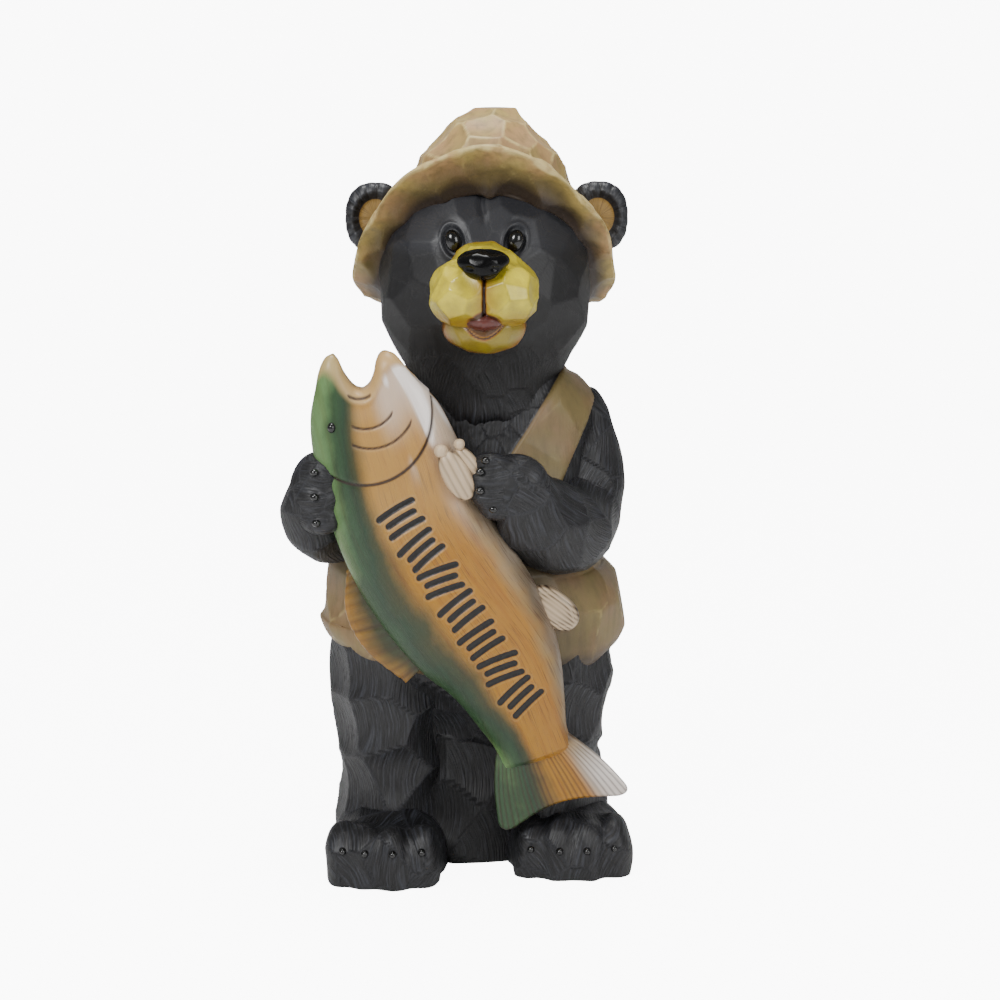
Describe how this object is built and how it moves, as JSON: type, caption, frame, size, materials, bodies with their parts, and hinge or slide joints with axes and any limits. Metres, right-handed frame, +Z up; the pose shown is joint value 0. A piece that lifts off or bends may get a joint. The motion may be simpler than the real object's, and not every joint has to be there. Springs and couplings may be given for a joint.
{
  "type": "chainsaw carved bear",
  "caption": "Standing carved bear garden statue in a bucket hat and vest, holding a trout upright across its front; one cast piece on flat feet.",
  "frame": {"origin": "on the floor, under the middle of the figure's width and depth", "axes": "+Z up to the top of the hat, the bear faces -Y, +X is to the viewer's right"},
  "size_m": [0.279, 0.23, 0.61],
  "materials": {
    "fur_paint": "satin black paint with bluish grey dry-brushed ridges, on cast resin",
    "cloth_paint": "satin khaki paint on the hat and vest, pale ridges and brown shading",
    "muzzle_paint": "satin yellow paint with orange brown airbrushed edges",
    "gloss_black": "gloss black paint on the nose, eyes and claws",
    "fish_paint": "semi-gloss airbrushed green, ochre and pearl over carved grain"
  },
  "bodies": {
    "root": {"carved_bear": "fur_paint"}
  },
  "joints": []
}
